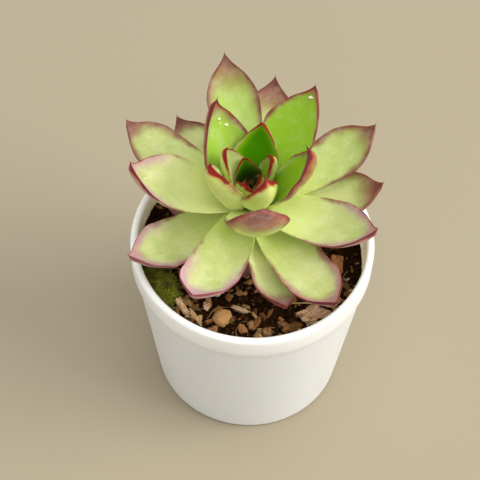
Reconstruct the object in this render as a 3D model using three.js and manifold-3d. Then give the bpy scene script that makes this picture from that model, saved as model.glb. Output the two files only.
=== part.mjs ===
// A rosette succulent on a short stem, growing in soil in a small white plastic pot.
// Millimetres, +Z up. The origin is the middle of the pot's underside, and -Y is the front.

import * as THREE from 'three';
import { mergeVertices } from 'three/addons/utils/BufferGeometryUtils.js';
import Module from 'manifold-3d';

const wasm = await Module();
wasm.setup();

// ---- Driving dimensions ----

const clearance = 0.3; // air left between two neighbouring pieces

// The pot: a thin tapered cup with a thicker band round its rim.
const potHeight = 62;
const rimRadius = 35; // outside of the rim band
const lipRadius = 32.8; // inside of the rim
const bandHeight = 8;
const bandStep = 0.9; // how far the band stands out from the wall below it
const footRadius = 28.6; // outside, at the underside
const footRounding = 1.6;
const wallThickness = 1.6;
const floorThickness = 2;
const drainHole = { count: 5, radius: 2.6, circle: 16, sides: 12 };
const potSides = 48;

// The soil fills the pot to below its rim and is highest at the back left.
const soilHeight = 54;
const soilSlope = { x: -0.055, y: 0.01 };
const soilLump = 0.9; // height of the lumps in its surface
const soilSides = 36;

// Coarse bits lie half sunk in the soil: their middles as [x, y], their sizes as [long, wide, thick].
const chipSeat = 0.12; // how far a bit's middle is above the soil, as a share of its thickness
const chips = {
  pebble_tan: { shape: 'pebble', at: [-7.8, -22.6], size: [6, 5.4, 4.2], turn: 25 },
  wood_sliver_1: { shape: 'flake', at: [-19, -20.6], size: [7.6, 2.2, 2], turn: -58, tilt: 8 },
  wood_sliver_2: { shape: 'flake', at: [-15.4, -23.2], size: [7.2, 2.4, 2], turn: -50, tilt: -6 },
  twig: { shape: 'twig', at: [-2.6, -20], size: [6.4, 1.7, 1.5], turn: -17, tilt: 6 },
  bark_large: { shape: 'flake', at: [17.6, -20], size: [13, 10, 4.2], turn: 27, tilt: -8 },
  bark_1: { shape: 'flake', at: [-12.2, -19], size: [3.6, 2.8, 2.4], turn: 70 },
  bark_2: { shape: 'flake', at: [-10.6, -27.2], size: [3.8, 3, 2.4], turn: 15 },
  bark_3: { shape: 'flake', at: [0.4, -24.6], size: [3.6, 3.2, 2.6], turn: 100 },
  bark_4: { shape: 'flake', at: [4.9, -26.8], size: [3.6, 3, 2.4], turn: 40 },
  bark_5: { shape: 'flake', at: [9.6, -23.2], size: [4.6, 1.8, 1.8], turn: 125, tilt: 10 },
  bark_6: { shape: 'flake', at: [9.3, -28], size: [4, 2.6, 2.2], turn: -10 },
  bark_orange: { shape: 'flake', at: [24.6, -3], size: [7.6, 4.6, 3.4], turn: 80, tilt: -14 },
  grit_white: { shape: 'pebble', at: [-9.6, -14.6], size: [2.4, 2, 1.8] },
};
const backChips = { count: 8, firstAngle: -4, angleStep: 24, nearStem: 19, nearWall: 27, turnStep: 61 };
const moss = { at: [-25.6, -12.4], size: [14, 7, 4.6], turn: -64 };

// The plant stands on its stem's foot, a little behind the pot's middle, and leans to the front.
const plantFoot = { x: -1.3, y: 6.6, z: 54 };
const plantLean = 4.2; // degrees, towards the front
const stemRadius = 4.4; // at the crown, where the leaves stand
const stemDepth = 16; // how far the stem reaches down into the soil
const crownHeight = 22.6; // from the soil to where the innermost leaf starts

// Each leaf follows the last by the golden angle, starts a little lower on the stem, and is larger and
// flatter than the last. A rank is a leaf's number, counted from the heart outwards.
const firstTurn = 342; // degrees anticlockwise from +X, seen from above
const goldenAngle = 137.5;
const leafStep = 0.24; // drop from one leaf's root to the next
const rootStep = 0.5; // how much further out each leaf starts, up to just inside the stem's skin
const rise = { heart: 79, perRank: 1.2, flattening: 45, flattensFrom: 8, flattensTo: 16 }; // degrees
const length = { heart: 10.5, perRank: 2.3, full: 38, shrinksFrom: 17, shrinkPerRank: 0.6 };
const width = { heart: 4.2, perRank: 1.1, full: 15.4 };
const thickness = { heart: 1.6, perRank: 0.26, full: 4.2 };
const bladeDip = { inner: 6, outer: 17 }; // degrees that a leaf starts below the straight line to its tip
const shoulderAt = { inner: 0.46, outer: 0.66 }; // where along a leaf it is widest
const taperPower = { inner: 1.2, outer: 1.6 }; // 1 gives straight sides up to the tip, more gives full ones
const tipPinch = 0.4; // how far the sides are drawn in just before the tip
const rootShare = 0.5; // a leaf's width at its root, as a share of its widest
const channelDepth = { inner: 0.5, outer: 0.26 }; // rise of the margins, as a share of half the width
const tipShare = 0.22; // a leaf's thickness at its tip, as a share of its full thickness
const leafEdge = 0.7; // thickness of a leaf's margin
const underLeaf = { rise: -6, length: 20, width: 9, thickness: 3.1 };

const heartLeaves = [0, 1, 2]; // the ranks that are still one body with the stem's tip
const lastRosetteLeaf = 23;
const underLeaves = [24, 25, 26, 27, 28, 31]; // short old leaves below the rosette

// How single leaves depart from the rule: degrees of turn, rise, dip and roll, millimetres of size and
// of skew, which is how far the tip lies to the side of the blade's middle line, and what is added to
// the channel's depth, the taper's power and the tip's pinch.
const habit = {
  0: { turn: 4, rise: -2, dip: 6, length: 0.6, width: 1.4 },
  1: { turn: -4, dip: 8, length: 0.8, width: 3 },
  2: { turn: -4, rise: -3, roll: -18, length: -1.5, width: 2, channel: -0.3 },
  3: { turn: -18, rise: 5, dip: 8, roll: -10, length: 1.6, width: -0.4 },
  4: { turn: -9, rise: 3, dip: 3, roll: 2, length: 1.4, width: 0.6 },
  5: { turn: -13, dip: 7, roll: 6, width: 1.6, channel: -0.12, power: 0.5, pinch: -0.3 },
  6: { turn: -11, rise: -2, dip: 8, length: -2, width: 2.8 },
  7: { turn: -3, dip: -1, length: 6, width: -1 },
  8: { turn: -14, rise: 1, dip: 10, roll: 2, length: 3.6, width: 1, channel: -0.2 },
  9: { turn: 4, roll: -6, length: -1, width: 2.2, skew: -5.2, channel: -0.15 },
  10: { turn: -1, rise: -2, dip: 11, roll: -2, length: -5, width: 1.8, skew: 1.5, channel: -0.36,
    power: 3.6, pinch: -0.4 },
  11: { turn: -4, rise: -3, length: -1, width: 1.2 },
  12: { turn: -4, rise: -3, dip: 3, roll: -8, length: -1, width: 1 },
  13: { turn: 2, rise: -7, roll: 6, length: 1 },
  14: { turn: -7, rise: 5, length: 1, width: -0.5, skew: 1.9 },
  15: { turn: 9, rise: -1, dip: -8, length: -0.8, skew: -3.2, power: 1, pinch: -0.25 },
  16: { turn: 6, rise: 5 },
  17: { turn: -6, rise: 6 },
  18: { turn: 7, rise: -1, dip: -6, length: 3 },
  19: { turn: 6 },
  20: { turn: 2, power: -0.35 },
  21: { turn: 16, rise: 3, length: -1 },
  22: { rise: -7, length: -2 },
  23: { turn: 24, rise: -5, dip: -8, roll: -10, length: -3, width: -1.4 },
  26: { turn: 8, length: 3 },
  31: { turn: -16, length: -2 },
};
const noHabit = {
  turn: 0, rise: 0, dip: 0, roll: 0, length: 0, width: 0, skew: 0, channel: 0, power: 0, pinch: 0,
};

// ---- Closed solids ----

function facesOf(geometry) {
  const faces = [];
  const corners = geometry.index.array;
  for (let i = 0; i < corners.length; i += 3) {
    const [a, b, c] = corners.slice(i, i + 3);
    if (a !== b && b !== c && c !== a) faces.push(a, b, c);
  }
  return faces;
}

function solidOf(geometry) {
  const bare = geometry.clone();
  bare.deleteAttribute('normal');
  bare.deleteAttribute('uv');
  const merged = mergeVertices(bare, 1e-4);
  return new wasm.Manifold(new wasm.Mesh({
    numProp: 3,
    vertProperties: new Float32Array(merged.attributes.position.array),
    triVerts: new Uint32Array(facesOf(merged)),
  }));
}

function geometryOf(solid) {
  const mesh = solid.getMesh();
  const geometry = new THREE.BufferGeometry();
  geometry.setAttribute('position', new THREE.BufferAttribute(mesh.vertProperties, 3));
  geometry.setIndex(new THREE.BufferAttribute(mesh.triVerts, 1));
  geometry.computeVertexNormals();
  return geometry;
}

const largestBody = (solid) => solid.decompose().sort((a, b) => b.volume() - a.volume())[0];

// A round solid from a profile of [radius, height] pairs that goes up the outside.
function turned(profile, sides) {
  const points = profile.map(([radius, height]) => new THREE.Vector2(radius, height));
  return new THREE.LatheGeometry(points, sides).rotateX(Math.PI / 2);
}

// Points of a round stretch of a profile, with angles in degrees from the outward direction.
function arc(radius, centre, from, to, steps) {
  return Array.from({ length: steps + 1 }, (_, i) => {
    const angle = THREE.MathUtils.degToRad(THREE.MathUtils.lerp(from, to, i / steps));
    return [centre[0] + radius * Math.cos(angle), centre[1] + radius * Math.sin(angle)];
  });
}

function mesh(name, geometry, material) {
  const piece = new THREE.Mesh(geometry, material);
  piece.name = name;
  return piece;
}

// ---- Pot ----

const bandFoot = potHeight - bandHeight;
const wallRadius = rimRadius - bandStep; // outside of the wall just below the band
const taper = (wallRadius - footRadius) / bandFoot;
const innerRadius = (height) => footRadius + taper * height - wallThickness;

function potGeometry() {
  const lipRounding = (rimRadius - lipRadius) / 2;
  const profile = [
    [0, 0],
    ...arc(footRounding, [footRadius - footRounding, footRounding], -90, 0, 2),
    [wallRadius, bandFoot],
    [rimRadius - 0.25, bandFoot + 0.4],
    ...arc(lipRounding, [rimRadius - lipRounding, potHeight - lipRounding], 0, 180, 4),
    [lipRadius, bandFoot],
    [innerRadius(bandFoot - 1.5), bandFoot - 1.5],
    ...arc(footRounding, [innerRadius(4) - footRounding, floorThickness + footRounding], 0, -90, 2),
    [0, floorThickness],
  ];
  let pot = solidOf(turned(profile, potSides));
  for (let i = 0; i < drainHole.count; i++) {
    const angle = (2 * Math.PI * i) / drainHole.count;
    const { radius, circle, sides } = drainHole;
    const hole = new THREE.CylinderGeometry(radius, radius, 3 * floorThickness, sides).rotateX(Math.PI / 2);
    hole.translate(circle * Math.cos(angle), circle * Math.sin(angle), floorThickness / 2);
    pot = pot.subtract(solidOf(hole));
  }
  return geometryOf(pot);
}

// ---- Soil ----

// Lumps of several sizes, without a repeat in the pot's width.
function lumps(x, y) {
  const broad = Math.sin(0.31 * x + 1.3) * Math.cos(0.27 * y - 0.6);
  const middle = Math.sin(0.83 * x - 0.71 * y + 2.1) * Math.cos(0.64 * x + 0.9 * y);
  const fine = Math.sin(1.9 * x + 1.1 * y) * Math.cos(1.6 * y - 0.8 * x + 0.4);
  return soilLump * (0.55 * broad + 0.5 * middle + 0.35 * fine);
}

const soilTop = (x, y) => soilHeight + soilSlope.x * x + soilSlope.y * y + lumps(x, y);

function soilGeometry() {
  const bottom = floorThickness + clearance;
  const edge = (height) => innerRadius(height) - clearance;
  const rings = [0.86, 0.7, 0.54, 0.37, 0.19].map((share) => share * edge(soilHeight));
  const profile = [
    [0, bottom],
    [edge(bottom) - 2, bottom],
    [edge(bottom + 2), bottom + 2],
    [edge(soilHeight - 5), soilHeight - 5],
    [edge(soilHeight) - 0.4, soilHeight],
    ...rings.map((radius) => [radius, soilHeight]),
    [0, soilHeight],
  ];
  const soil = turned(profile, soilSides);
  const points = soil.attributes.position;
  for (let i = 0; i < points.count; i++) {
    if (points.getZ(i) > soilHeight - 1) points.setZ(i, soilTop(points.getX(i), points.getY(i)));
  }
  return soil;
}

// ---- Leaves ----

// Places of a section's points across the leaf, margin to margin, on its upper face and its underside.
const acrossUpper = [-1, -0.55, 0, 0.55, 1];
const acrossUnder = [-1, -0.62, 0, 0.62, 1];
const stationCount = 8;
const stations = Array.from({ length: stationCount }, (_, i) => 1 - (1 - i / stationCount) ** 1.35);

function leafOf(rank) {
  const own = { ...noHabit, ...habit[rank] };
  const flatness = THREE.MathUtils.smoothstep(rank, rise.flattensFrom, rise.flattensTo);
  const leaf = {
    turn: firstTurn + goldenAngle * rank + own.turn,
    rise: rise.heart - rise.perRank * rank - rise.flattening * flatness + own.rise,
    dip: THREE.MathUtils.lerp(bladeDip.inner, bladeDip.outer, flatness) + own.dip,
    roll: own.roll,
    skew: own.skew,
    rootOut: Math.min(rootStep * rank, stemRadius - 0.8),
    rootUp: crownHeight - leafStep * rank,
    length: Math.min(length.heart + length.perRank * rank, length.full) + own.length,
    width: Math.min(width.heart + width.perRank * rank, width.full) + own.width,
    thickness: Math.min(thickness.heart + thickness.perRank * rank, thickness.full),
    shoulder: THREE.MathUtils.lerp(shoulderAt.inner, shoulderAt.outer, flatness),
    power: THREE.MathUtils.lerp(taperPower.inner, taperPower.outer, flatness) + own.power,
    pinch: tipPinch + own.pinch,
    channel: THREE.MathUtils.lerp(channelDepth.inner, channelDepth.outer, flatness) + own.channel,
  };
  leaf.length -= length.shrinkPerRank * Math.max(0, rank - length.shrinksFrom);
  if (rank <= lastRosetteLeaf) return leaf;
  return { ...leaf, ...underLeaf, length: underLeaf.length + own.length };
}

// The middle line of a leaf's upper face, in the plant's own frame: flat at first, then turned up.
function midrib(leaf) {
  const turn = THREE.MathUtils.degToRad(leaf.turn);
  const at = (reach, rise) => {
    const angle = THREE.MathUtils.degToRad(rise);
    const out = leaf.rootOut + leaf.length * reach * Math.cos(angle);
    const up = leaf.rootUp + leaf.length * reach * Math.sin(angle);
    return new THREE.Vector3(out * Math.cos(turn), out * Math.sin(turn), up);
  };
  const start = leaf.rise - leaf.dip;
  return new THREE.CubicBezierCurve3(at(0, 0), at(0.35, start), at(0.8, start), at(1, leaf.rise));
}

// A leaf's width at a place along it, as a share of its widest.
function outline({ shoulder, power, pinch }, along) {
  if (along < shoulder) {
    return THREE.MathUtils.lerp(rootShare, 1, Math.sin((Math.PI / 2) * (along / shoulder)));
  }
  const toTip = (along - shoulder) / (1 - shoulder);
  return (1 - toTip ** power) * (1 - pinch * THREE.MathUtils.smoothstep(toTip, 0.5, 0.95));
}

function levelSide(leaf) {
  const turn = THREE.MathUtils.degToRad(leaf.turn);
  return new THREE.Vector3(-Math.sin(turn), Math.cos(turn), 0);
}

// The points of one cross-section: the hollow upper face from margin to margin, then the underside back.
function leafSection(leaf, curve, along, swell) {
  const forward = curve.getTangent(along);
  const centre = curve.getPoint(along).addScaledVector(levelSide(leaf), leaf.skew * along ** 2);
  const side = levelSide(leaf).applyAxisAngle(forward, THREE.MathUtils.degToRad(leaf.roll));
  const up = new THREE.Vector3().crossVectors(forward, side);
  const halfWidth = (leaf.width / 2) * outline(leaf, along) + swell;
  const depth = leaf.thickness * THREE.MathUtils.lerp(1, tipShare, along ** 3) - leafEdge;
  const point = (u, drop) => {
    const height = leaf.channel * halfWidth * u * u - drop;
    return centre.clone().addScaledVector(side, u * halfWidth).addScaledVector(up, height);
  };
  const upper = acrossUpper.map((u) => point(u, -swell));
  const under = acrossUnder.map((u) => point(-u, leafEdge + swell + depth * (1 - u * u) ** 0.7));
  return [...upper, ...under];
}

function leafSolid(leaf, swell = 0) {
  const curve = midrib(leaf);
  const rings = stations.map((along) => leafSection(leaf, curve, along, swell));
  const count = rings[0].length;
  const tip = curve.getPoint(1).addScaledVector(levelSide(leaf), leaf.skew);
  tip.addScaledVector(curve.getTangent(1), swell);
  const points = [curve.getPoint(0), ...rings.flat(), tip];
  const last = points.length - 1;
  const faces = [];
  for (let i = 0; i < count; i++) {
    const next = (i + 1) % count;
    faces.push(0, 1 + i, 1 + next);
    for (let ring = 0; ring < rings.length - 1; ring++) {
      const a = 1 + ring * count + i;
      const b = 1 + ring * count + next;
      faces.push(a, a + count, b, b, a + count, b + count);
    }
    faces.push(last, last - count + next, last - count + i);
  }
  const geometry = new THREE.BufferGeometry().setFromPoints(points);
  geometry.setIndex(faces);
  return solidOf(geometry);
}

// ---- Stem with the unopened heart of the rosette ----

function stemSolid(swell = 0) {
  const radius = stemRadius + swell;
  const profile = [
    [0, -stemDepth - swell],
    [0.5 * radius, -stemDepth - swell],
    [0.9 * radius, -0.6 * stemDepth],
    [radius, 0],
    [radius, 0.5 * crownHeight],
    [0.9 * radius, 0.8 * crownHeight],
    [0.5 * radius, crownHeight + swell],
    [0, crownHeight + 1 + swell],
  ];
  return solidOf(turned(profile, 14));
}

const heartSolid = (swell = 0) => heartLeaves.reduce(
  (whole, rank) => whole.add(leafSolid(leafOf(rank), swell)),
  stemSolid(swell),
);

// ---- Chips, pebbles and moss on the soil ----

// A rounded pebble, an angular flake of bark or a round twig, longest along its own X.
function chipSolid({ shape, size, turn = 0, tilt = 0, at }, swell = 0) {
  const bodies = {
    pebble: () => new THREE.SphereGeometry(0.5, 8, 5),
    flake: () => new THREE.DodecahedronGeometry(0.5),
    twig: () => new THREE.CylinderGeometry(0.5, 0.4, 1, 7).rotateZ(Math.PI / 2),
  };
  const body = bodies[shape]();
  body.scale(size[0] + 2 * swell, size[1] + 2 * swell, size[2] + 2 * swell);
  body.rotateY(THREE.MathUtils.degToRad(tilt));
  body.rotateZ(THREE.MathUtils.degToRad(turn));
  body.translate(at[0], at[1], soilTop(at[0], at[1]) + chipSeat * size[2]);
  return solidOf(body);
}

// The chips on the hidden side lie along an arc, alternately near the stem and near the wall.
function backChip(i) {
  const angle = THREE.MathUtils.degToRad(backChips.firstAngle + backChips.angleStep * i);
  const radius = i % 2 ? backChips.nearWall : backChips.nearStem;
  const form = i % 3;
  return {
    shape: form ? 'flake' : 'pebble',
    at: [radius * Math.cos(angle), radius * Math.sin(angle)],
    size: [4.6 - 0.6 * form, 3.4, 2.6],
    turn: backChips.turnStep * i,
    tilt: 12 * (form - 1),
  };
}

// A low cushion along the wall, with tufts raised in its surface.
function mossSolid(swell = 0) {
  const { at, size, turn } = moss;
  const body = new THREE.SphereGeometry(0.5, 12, 7);
  const points = body.attributes.position;
  const point = new THREE.Vector3();
  for (let i = 0; i < points.count; i++) {
    point.fromBufferAttribute(points, i);
    const tuft = 1 + 0.1 * Math.sin(17 * point.x + 5 * point.z) * Math.cos(15 * point.z - 4 * point.y);
    points.setXYZ(i, point.x * tuft, point.y * tuft, point.z * tuft);
  }
  body.rotateX(Math.PI / 2);
  body.scale(size[0] + 2 * swell, size[1] + 2 * swell, size[2] + 2 * swell);
  body.rotateZ(THREE.MathUtils.degToRad(turn));
  body.translate(at[0], at[1], soilTop(at[0], at[1]));
  return solidOf(body);
}

// ---- Assembly ----

const plastic = new THREE.MeshStandardMaterial({ color: 0xf2f0ea, roughness: 0.4 });
const earth = new THREE.MeshStandardMaterial({ color: 0x3b2514, roughness: 1 });
const mossGreen = new THREE.MeshStandardMaterial({ color: 0x5a6a14, roughness: 1 });
const bark = new THREE.MeshStandardMaterial({ color: 0xa87c54, roughness: 0.9 });
const leafSkin = new THREE.MeshStandardMaterial({ color: 0xb4cc72, roughness: 0.55 });
const stemSkin = new THREE.MeshStandardMaterial({ color: 0x9aa05c, roughness: 0.7 });

const potted = new THREE.Group();
const plant = new THREE.Group();
plant.position.set(plantFoot.x, plantFoot.y, plantFoot.z);
plant.rotation.x = THREE.MathUtils.degToRad(plantLean);
potted.add(plant);

plant.add(mesh('stem_and_heart', geometryOf(heartSolid()), stemSkin));
const swollen = [heartSolid(clearance)];
const ranks = Array.from({ length: lastRosetteLeaf + 1 }, (_, rank) => rank);
const rosetteLeaves = ranks.slice(heartLeaves.length);
for (const rank of [...rosetteLeaves, ...underLeaves]) {
  const leaf = leafOf(rank);
  const kind = rank > lastRosetteLeaf ? 'under_leaf' : 'leaf';
  const cut = swollen.reduce((solid, neighbour) => solid.subtract(neighbour), leafSolid(leaf));
  plant.add(mesh(`${kind}_${rank}`, geometryOf(largestBody(cut)), leafSkin));
  swollen.push(leafSolid(leaf, clearance));
}

potted.add(mesh('pot', potGeometry(), plastic));

for (let i = 0; i < backChips.count; i++) chips[`chip_back_${i + 1}`] = backChip(i);
plant.updateMatrix();
const stemHole = solidOf(geometryOf(heartSolid(clearance)).applyMatrix4(plant.matrix));
const chipPockets = Object.values(chips).map((chip) => chipSolid(chip, clearance));
const pockets = [stemHole, mossSolid(clearance), ...chipPockets];
const soil = pockets.reduce((solid, pocket) => solid.subtract(pocket), solidOf(soilGeometry()));
potted.add(mesh('soil', geometryOf(largestBody(soil)), earth));
potted.add(mesh('moss', geometryOf(mossSolid()), mossGreen));
for (const [name, chip] of Object.entries(chips)) {
  potted.add(mesh(name, geometryOf(chipSolid(chip)), bark));
}

export default potted;
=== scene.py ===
# A rosette succulent on a short stem, growing in soil in a small white plastic pot.
# Objects are in metres, +Z up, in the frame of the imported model. Sizes in millimetres become metres
# when they are multiplied by mm.

import math
import random

import bmesh
import bpy
from mathutils import Matrix, Vector, noise


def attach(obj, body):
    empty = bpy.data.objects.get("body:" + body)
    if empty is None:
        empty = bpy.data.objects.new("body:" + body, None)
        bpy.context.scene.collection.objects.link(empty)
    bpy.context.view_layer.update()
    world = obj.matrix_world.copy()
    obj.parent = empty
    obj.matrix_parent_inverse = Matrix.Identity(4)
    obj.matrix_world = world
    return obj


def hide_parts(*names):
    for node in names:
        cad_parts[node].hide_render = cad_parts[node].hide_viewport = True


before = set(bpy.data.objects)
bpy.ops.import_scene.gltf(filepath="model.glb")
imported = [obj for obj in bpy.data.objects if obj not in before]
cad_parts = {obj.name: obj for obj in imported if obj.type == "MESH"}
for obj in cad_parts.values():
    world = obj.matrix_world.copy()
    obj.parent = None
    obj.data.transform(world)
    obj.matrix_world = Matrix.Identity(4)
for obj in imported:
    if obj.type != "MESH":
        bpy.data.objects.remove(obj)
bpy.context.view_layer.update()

mm = 0.001

# ---- The room ----
# The pot stands on a plain pale table top in soft daylight. The sky gives an even light from all
# round, and a large bright window on the right gives the stronger one.

camera_view = {"azimuth": 0, "elevation": 55.25, "roll": 1.84, "distance": 400 * mm}
camera_target = Vector((-3.57, -1.12, 62.15)) * mm
sensor_width = 36
focal_length = 105
furthest_view = 20
sky_light = {"colour": (1.0, 0.985, 0.955), "strength": 0.9}
lit_point = Vector((0, 0, 60)) * mm
windows = {
    "window_right": {"place": (1.6, -0.24, 1.24), "size": 1.6, "power": 38, "colour": (1.0, 0.97, 0.915)},
    "skylight": {"place": (0.05, -0.15, 1.1), "size": 0.7, "power": 4, "colour": (1.0, 0.98, 0.95)},
}
table_colour = (0.315, 0.275, 0.195)
table_reach = 4.0

azimuth, elevation, roll = (math.radians(camera_view[key]) for key in ("azimuth", "elevation", "roll"))
back = Vector((math.sin(azimuth) * math.cos(elevation), -math.cos(azimuth) * math.cos(elevation),
               math.sin(elevation)))
level_right = (-back).cross(Vector((0, 0, 1))).normalized()
level_up = level_right.cross(-back)
right = level_right * math.cos(roll) + level_up * math.sin(roll)
up = level_up * math.cos(roll) - level_right * math.sin(roll)
turned_view = Matrix((right, up, back)).transposed().to_4x4()
camera = bpy.data.objects.new("camera", bpy.data.cameras.new("camera"))
camera.data.lens = focal_length
camera.data.sensor_width = sensor_width
camera.data.clip_end = furthest_view
camera.matrix_world = Matrix.Translation(camera_target + back * camera_view["distance"]) @ turned_view
bpy.context.scene.collection.objects.link(camera)
bpy.context.scene.camera = camera

view = bpy.context.scene.view_settings
view.view_transform = "Standard"
view.look = "None"
view.exposure = 0
view.gamma = 1

sky = bpy.data.worlds.new("sky")
sky.use_nodes = True
sky.node_tree.nodes["Background"].inputs["Color"].default_value = (*sky_light["colour"], 1)
sky.node_tree.nodes["Background"].inputs["Strength"].default_value = sky_light["strength"]
bpy.context.scene.world = sky

for name, window in windows.items():
    lamp = bpy.data.objects.new(name, bpy.data.lights.new(name, "AREA"))
    lamp.data.shape = "DISK"
    lamp.data.size = window["size"]
    lamp.data.energy = window["power"]
    lamp.data.color = window["colour"]
    lamp.location = window["place"]
    lamp.rotation_euler = (lit_point - lamp.location).to_track_quat("-Z", "Y").to_euler()
    bpy.context.scene.collection.objects.link(lamp)


def finish(name, **constants):
    """A new material, its node tree, and its shader with the given constant sockets set."""
    material = bpy.data.materials.new(name)
    material.use_nodes = True
    shader = material.node_tree.nodes["Principled BSDF"]
    for socket, value in constants.items():
        shader.inputs[socket.replace("_", " ")].default_value = value
    return material, material.node_tree, shader


def piece(name, points, faces, material, smooth=True, carried=None):
    """A mesh object from points in metres. carried names values that its points carry."""
    mesh = bpy.data.meshes.new(name)
    mesh.from_pydata(points, [], faces)
    for key, values in (carried or {}).items():
        if isinstance(values[0], Vector):
            attribute = mesh.attributes.new(key, "FLOAT_VECTOR", "POINT")
            attribute.data.foreach_set("vector", [part for value in values for part in value])
        else:
            mesh.attributes.new(key, "FLOAT", "POINT").data.foreach_set("value", values)
    mesh.update()
    if smooth:
        mesh.shade_smooth()
    mesh.materials.append(material)
    thing = bpy.data.objects.new(name, mesh)
    bpy.context.scene.collection.objects.link(thing)
    return thing


table = finish("pale_table", Base_Color=(*table_colour, 1), Roughness=0.9)[0]
corners = [(-table_reach, -table_reach, 0), (table_reach, -table_reach, 0),
           (table_reach, table_reach, 0), (-table_reach, table_reach, 0)]
piece("table_top", corners, [(0, 1, 2, 3)], table)

# ---- Pot ----
# One thin, tapered cup of white polypropylene with a thicker band round its rim, moulded in one
# shot. Light comes a little way through it. Five round holes in its floor let the water out.

pot_height = 62
rim_radius = 35
lip_radius = 32.8
band_height = 8
band_step = 0.9
foot_radius = 28.6
foot_rounding = 1.6
foot_flat = 24.4
floor_flat = 22
wall_thickness = 1.6
wall_foot = 4
floor_thickness = 2
inner_step = 1.5
pot_sides = 256
sharpest_bend = 50
drain_hole = {"count": 5, "radius": 2.6, "circle": 16, "sides": 48, "bottom": -2, "top": 5}
band_foot = pot_height - band_height
wall_radius = rim_radius - band_step
lip_rounding = (rim_radius - lip_radius) / 2
taper = (wall_radius - foot_radius) / band_foot

# The step from the wall out to the band: how far each point is out from the wall and above its top.
band_shoulder = ((-0.05, -0.5), (0.02, -0.1), (0.3, 0.12), (0.6, 0.3), (0.82, 0.5), (band_step, 0.85))

dull_white = (0.875, 0.86, 0.835)
clear_white = (0.915, 0.905, 0.885)
# Painted light: the inner wall's warm peach white stands in for daylight shining through the thin wall.
painted_glow_white = (0.99, 0.90, 0.80)
pot_dust = (0.72, 0.67, 0.58)
soil_stain = (0.22, 0.12, 0.055)


def finish_node(kind, sockets=(), tree=None, **settings):
    """One node of a finish, in the tree of the outputs that it takes or in a given one. Its sockets,
    by place or name, take values or other nodes' outputs."""
    taken = sockets if isinstance(sockets, dict) else dict(enumerate(sockets))
    outputs = [value for value in taken.values() if isinstance(value, bpy.types.NodeSocket)]
    tree = tree or outputs[0].id_data
    node = tree.nodes.new("ShaderNode" + kind)
    for name, value in settings.items():
        setattr(node, name, value)
    for key, value in taken.items():
        if isinstance(value, bpy.types.NodeSocket):
            tree.links.new(value, node.inputs[key])
        else:
            node.inputs[key].default_value = value
    return node


def reckon(operation, *values):
    """A sum of values or outputs, by the name of its operation."""
    return finish_node("Math", values, operation=operation).outputs[0]


def times(*masks):
    """The product of several masks."""
    product = masks[0]
    for mask in masks[1:]:
        product = reckon("MULTIPLY", product, mask)
    return product


def plus(first, second):
    return reckon("ADD", first, second)


def fade(value, start, end, low=0.0, high=1.0):
    """Goes smoothly from low at start to high at end."""
    sockets = {"Value": value, "From Min": start, "From Max": end, "To Min": low, "To Max": high}
    return finish_node("MapRange", sockets, interpolation_type="SMOOTHSTEP").outputs[0]


def mix_colours(share, first, second):
    first, second = (value if isinstance(value, bpy.types.NodeSocket) else (*value, 1)
                     for value in (first, second))
    sockets = {0: share, 6: first, 7: second}
    return finish_node("Mix", sockets, data_type="RGBA", clamp_factor=True).outputs[2]


def painted(colour, *coats):
    """A colour with coats laid over it in turn, each a mask and its colour."""
    for mask, coat in coats:
        colour = mix_colours(mask, colour, coat)
    return colour


def place_mm(tree):
    """The place on the piece, in millimetres."""
    coordinates = finish_node("TexCoord", tree=tree).outputs["Object"]
    return finish_node("VectorMath", {0: coordinates, "Scale": 1 / mm}, operation="SCALE").outputs[0]


def cloudy(place, scale, detail=3.0, roughness=0.5, stretch=None):
    """Uneven patches from 0 to 1, scale of them to a millimetre."""
    if stretch:
        place = finish_node("VectorMath", (place, stretch), operation="MULTIPLY").outputs[0]
    sockets = {"Vector": place, "Scale": scale, "Detail": detail, "Roughness": roughness}
    return finish_node("TexNoise", sockets).outputs["Fac"]


def feed(shader, **sockets):
    """Links outputs to a shader's sockets."""
    for socket, output in sockets.items():
        shader.id_data.links.new(output, shader.inputs[socket.replace("_", " ")])


def raise_surface(shader, height, distance, strength):
    """Small relief of the surface, by a height from 0 to 1 and distance metres at most."""
    sockets = {"Height": height, "Distance": distance, "Strength": strength}
    feed(shader, Normal=finish_node("Bump", sockets).outputs[0])


plastic, tree, shader = finish(
    "white_plastic", Subsurface_Radius=(1.0, 0.78, 0.55), Subsurface_Scale=7 * mm,
    IOR=1.49, Coat_Weight=0.08, Coat_Roughness=0.25)
place = place_mm(tree)
height_up = finish_node("SeparateXYZ", (place,)).outputs["Z"]
level_place = finish_node("VectorMath", (place, (1, 1, 0)), operation="MULTIPLY").outputs[0]
from_axis = finish_node("VectorMath", (level_place,), operation="LENGTH").outputs["Value"]
from_wall = reckon("SUBTRACT", from_axis, times(height_up, taper))
inside = times(fade(from_wall, foot_radius - 0.6, foot_radius - 1.0),
               fade(height_up, pot_height - 0.4, pot_height - 2.2),
               fade(height_up, band_foot - 8, band_foot - 4))
dusty = fade(cloudy(place, 0.22, 5, 0.65), 0.56, 0.78, 0.0, 0.12)
soiled = times(inside, fade(height_up, band_foot + 3.2, band_foot + 0.4),
               fade(cloudy(place, 0.8, 5, 0.7), 0.45, 0.65, 0.0, 0.35))
flow = cloudy(place, 0.05, 4, stretch=(1, 1, 2.4))
scuffs = cloudy(place, 0.9, 6, 0.7, stretch=(1, 1, 0.35))
mould_marks = cloudy(place, 1.0, 2, stretch=(0.012, 0.012, 0.55))
# On the inner wall the peach white is painted light shining through it; soil_stain is a real stain.
white = painted(dull_white, (flow, clear_white), (dusty, pot_dust), (inside, painted_glow_white),
                (soiled, soil_stain))
feed(shader, Base_Color=white, Roughness=fade(scuffs, 0.35, 0.75, 0.33, 0.5),
     Subsurface_Weight=fade(inside, 0.0, 1.0, 0.6, 1.0))
raise_surface(shader, plus(times(mould_marks, 0.6), times(scuffs, 0.12)), 0.12 * mm, 0.5)


def inner_radius(height):
    return foot_radius + taper * height - wall_thickness


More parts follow.
